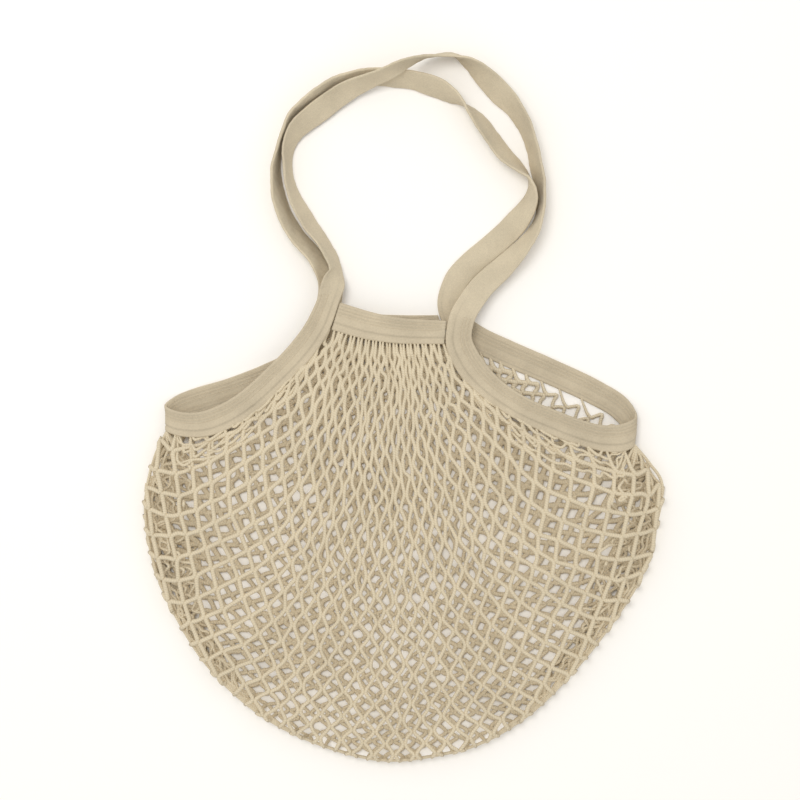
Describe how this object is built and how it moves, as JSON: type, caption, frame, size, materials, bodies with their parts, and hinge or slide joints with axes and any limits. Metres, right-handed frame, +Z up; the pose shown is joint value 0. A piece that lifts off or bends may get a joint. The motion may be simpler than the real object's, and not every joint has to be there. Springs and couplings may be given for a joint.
{
  "type": "cotton net shopping bag",
  "caption": "Cotton net shopping bag lying flat, with gathered bands, tape-bound side mouths and long tape handles laid out in loops.",
  "frame": {"origin": "middle of the lying bag's footprint, on the floor it rests on", "axes": "+Z up from the floor to the front layer, +Y from the net's bottom towards the handles, +X to the right as seen from above"},
  "size_m": [0.4005, 0.5472, 0.0375],
  "materials": {
    "cotton_net": "unbleached knitted cotton net",
    "cotton_tape": "unbleached woven cotton tape"
  },
  "bodies": {
    "root": {"net_pouch": "cotton_net", "front_band": "cotton_tape", "back_band": "cotton_tape", "left_binding": "cotton_tape", "right_binding": "cotton_tape", "front_handle": "cotton_tape", "back_handle": "cotton_tape"}
  },
  "joints": []
}
